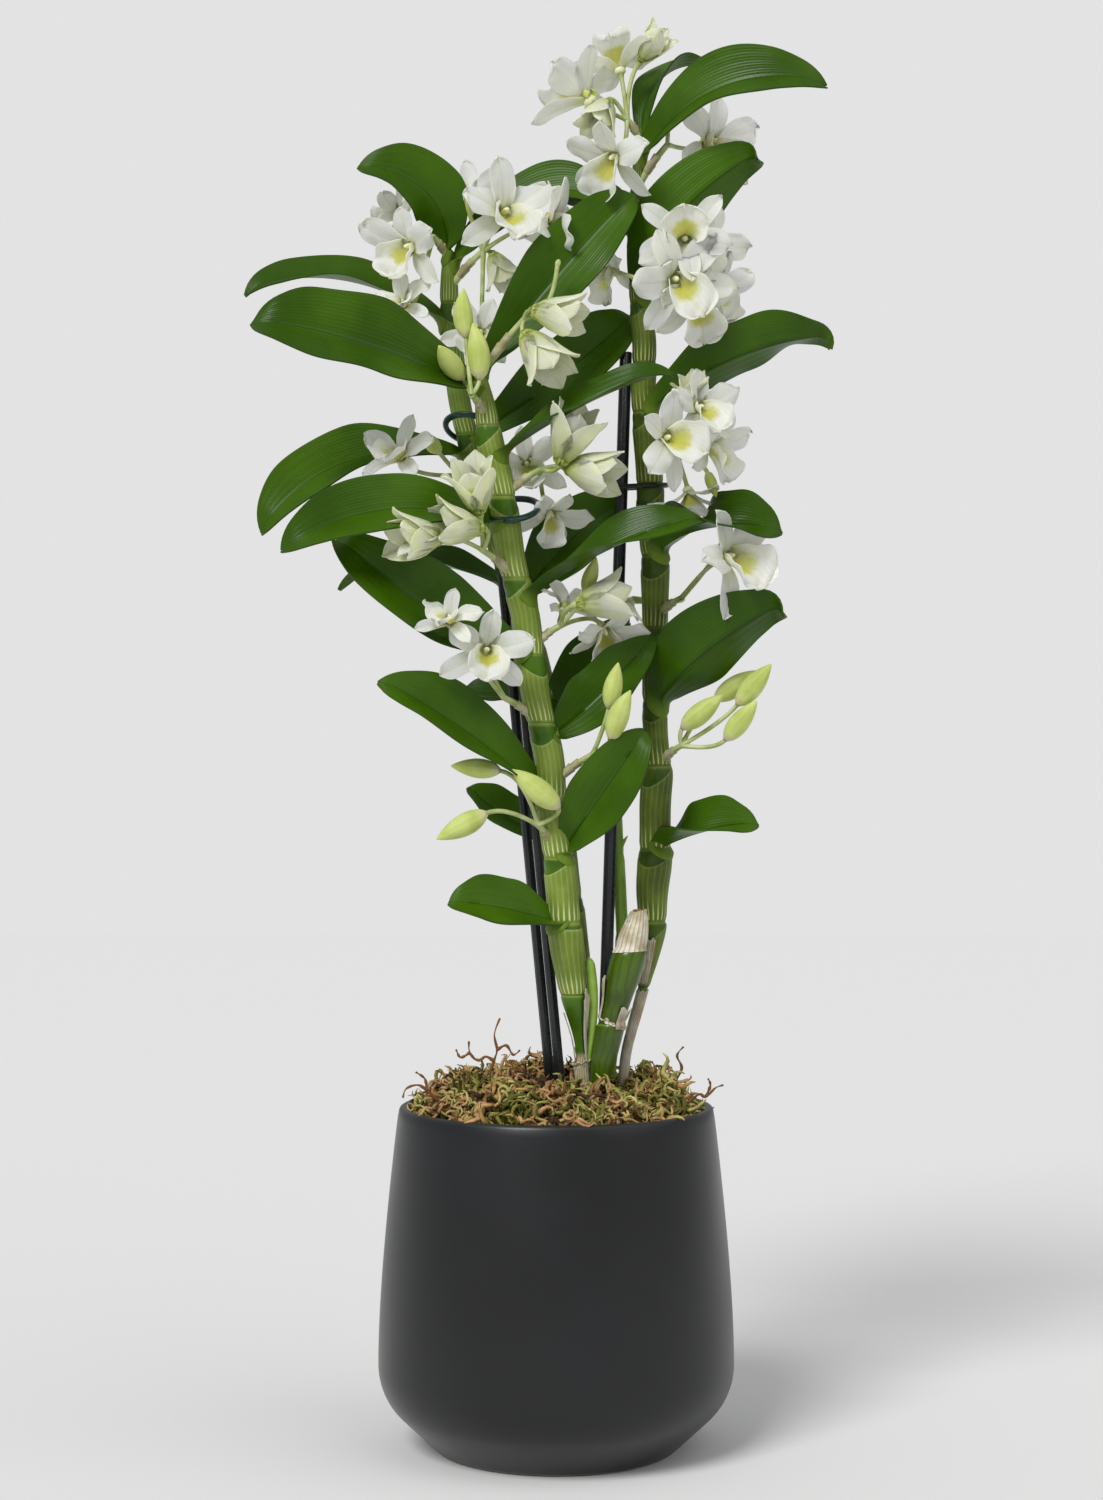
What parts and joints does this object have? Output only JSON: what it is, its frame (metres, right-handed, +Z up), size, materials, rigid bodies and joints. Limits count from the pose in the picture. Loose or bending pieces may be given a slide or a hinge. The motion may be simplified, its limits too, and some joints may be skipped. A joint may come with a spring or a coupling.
{
  "type": "potted dendrobium orchid",
  "caption": "Flowering dendrobium orchid: leafy jointed canes held to black sticks, growing from bark in a plastic pot inside a charcoal ceramic cover pot dressed with moss.",
  "frame": {"origin": "centre of the cover pot's foot, on the surface that it stands on", "axes": "+Z up along the pot's axis; -Y towards the side that the flowers face; +X to the right seen from there"},
  "size_m": [0.264, 0.16, 0.637],
  "materials": {
    "pot_glaze": "matte",
    "nursery_plastic": "satin",
    "bark": "matte",
    "moss": "matte",
    "cane_skin": "satin",
    "stake_plastic": "satin",
    "clip_wire": "satin",
    "tie_strap": "satin",
    "leaf_blade": "satin",
    "flower_spray": "matte"
  },
  "bodies": {
    "root": {"cover_pot": "pot_glaze", "nursery_pot": "nursery_plastic", "stake_left_front": "stake_plastic", "stake_left_back": "stake_plastic", "stake_right": "stake_plastic", "rhizome_and_old_cane": "cane_skin", "cane_front_left": "cane_skin", "cane_back_left": "cane_skin", "cane_right": "cane_skin", "shoot_young": "cane_skin", "bark_medium": "bark", "moss_dressing": "moss", "clip_front": "clip_wire", "clip_back": "clip_wire", "tie_right": "tie_strap", "leaf_front_01": "leaf_blade", "leaf_front_02": "leaf_blade", "leaf_front_03": "leaf_blade", "leaf_front_04": "leaf_blade", "leaf_front_05": "leaf_blade", "leaf_front_06": "leaf_blade", "leaf_front_07": "leaf_blade", "leaf_front_08": "leaf_blade", "leaf_front_09": "leaf_blade", "leaf_front_10": "leaf_blade", "leaf_back_01": "leaf_blade", "leaf_back_02": "leaf_blade", "leaf_back_03": "leaf_blade", "leaf_back_04": "leaf_blade", "leaf_back_05": "leaf_blade", "leaf_back_06": "leaf_blade", "leaf_back_07": "leaf_blade", "leaf_back_08": "leaf_blade", "leaf_back_09": "leaf_blade", "leaf_back_10": "leaf_blade", "leaf_right_01": "leaf_blade", "leaf_right_02": "leaf_blade", "leaf_right_03": "leaf_blade", "leaf_right_04": "leaf_blade", "leaf_right_05": "leaf_blade", "leaf_right_06": "leaf_blade", "leaf_right_07": "leaf_blade", "leaf_right_08": "leaf_blade", "spray_front_1": "flower_spray", "spray_front_2": "flower_spray", "spray_front_3": "flower_spray", "spray_front_4": "flower_spray", "spray_front_5": "flower_spray", "spray_front_6": "flower_spray", "spray_front_7": "flower_spray", "spray_front_8": "flower_spray", "spray_back_1": "flower_spray", "spray_back_2": "flower_spray", "spray_back_3": "flower_spray", "spray_right_1": "flower_spray", "spray_right_2": "flower_spray", "spray_right_3": "flower_spray", "spray_right_4": "flower_spray", "spray_right_5": "flower_spray", "spray_right_6": "flower_spray"}
  },
  "joints": []
}
